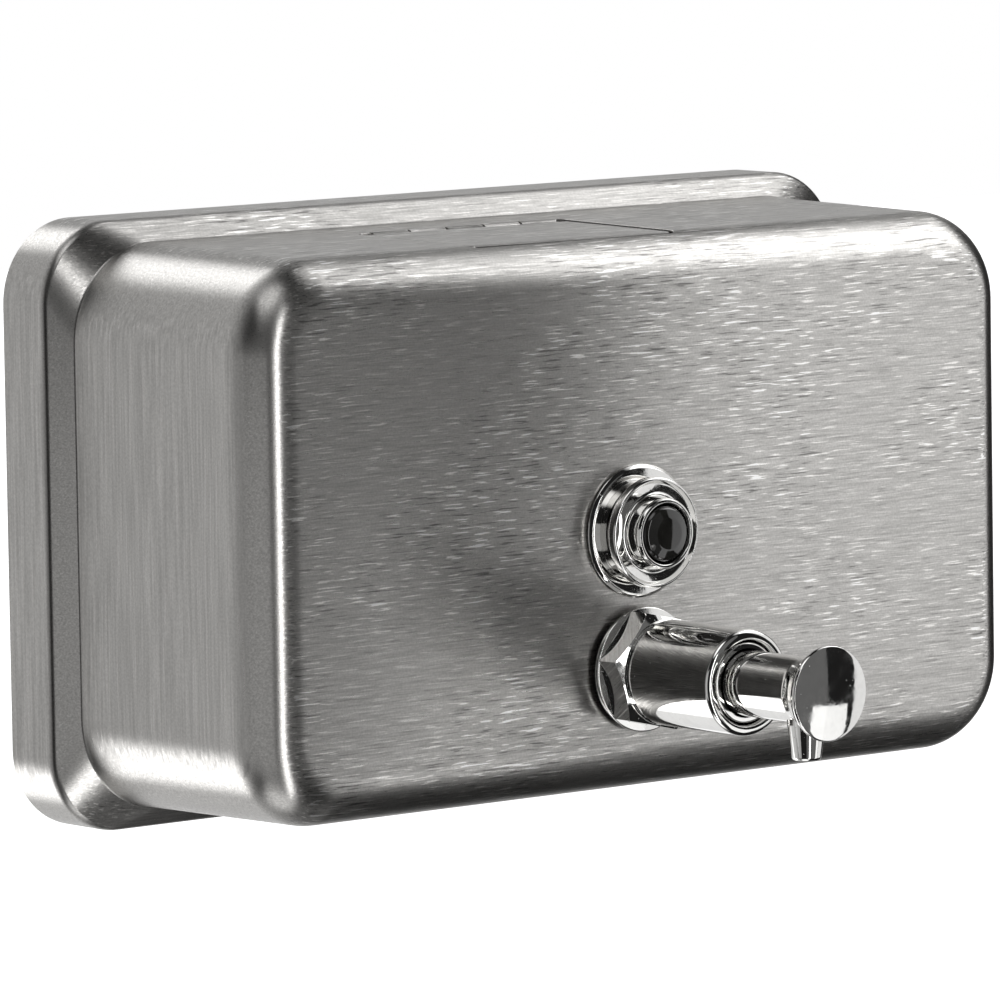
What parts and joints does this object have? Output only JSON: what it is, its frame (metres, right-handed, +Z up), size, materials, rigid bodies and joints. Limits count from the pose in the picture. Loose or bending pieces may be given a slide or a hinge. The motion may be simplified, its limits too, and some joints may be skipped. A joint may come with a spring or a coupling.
{
  "type": "wall mounted soap dispenser",
  "caption": "Horizontal box-shaped stainless steel soap dispenser for a wall, with a hinged filler lid on top, a round sight gauge and a push valve with a spout.",
  "frame": {"origin": "centre of the wall face", "axes": "+X to the right seen from the front, +Y into the wall, +Z up; the front faces -Y"},
  "size_m": [0.206, 0.1319, 0.121],
  "materials": {
    "brushed_steel": "satin, brushed level on the front",
    "plated_steel": "bright zinc plate",
    "spring_steel": "drawn, smooth",
    "chrome": "polished plate",
    "rubber": "matt",
    "white_plastic": "moulded, satin",
    "clear_plastic": "clear acrylic, polished"
  },
  "bodies": {
    "root": {"tank_shell": "brushed_steel", "tank_back": "brushed_steel", "hanger_rail": "plated_steel", "wall_plate": "plated_steel", "wall_screw_1": "plated_steel", "wall_screw_2": "plated_steel", "wall_screw_3": "plated_steel", "wall_screw_4": "plated_steel", "locking_screw": "spring_steel", "filler_frame": "brushed_steel", "hinge_pin": "spring_steel", "gauge_washer": "chrome", "gauge_bezel": "chrome", "gauge_lens": "clear_plastic", "gauge_gasket": "rubber", "gauge_nut": "chrome", "valve_body": "chrome", "valve_gasket_outer": "rubber", "valve_gasket_inner": "rubber", "valve_lock_nut": "plated_steel", "button_bushing": "chrome", "button_seal": "rubber", "spring_seat": "plated_steel", "return_spring": "spring_steel", "pump_cylinder": "white_plastic", "inlet_seat": "white_plastic", "pickup_tube": "clear_plastic"},
    "lid": {"filler_lid": "brushed_steel", "lid_catch": "spring_steel"},
    "button": {"push_button": "chrome", "spout_nozzle": "chrome", "plunger_stem": "spring_steel", "piston": "white_plastic", "piston_seal": "rubber", "outlet_valve": "rubber"},
    "inlet_ball": {"inlet_ball": "spring_steel"}
  },
  "joints": [
    {"name": "lid_hinge", "type": "hinge", "parent": "root", "child": "lid", "pos_m": [-0.012, -0.0317, 0.0545], "axis": [-1, 0, 0], "range_deg": [0, 90]},
    {"name": "button_slide", "type": "slide", "parent": "root", "child": "button", "axis": [0, 1, 0], "range_m": [0, 0.012], "stiffness_N_per_m": 600, "springref_m": -0.012, "deforming": ["return_spring"]},
    {"name": "ball_lift", "type": "slide", "parent": "root", "child": "inlet_ball", "axis": [0, 0, 1], "range_m": [0, 0.0015]}
  ]
}
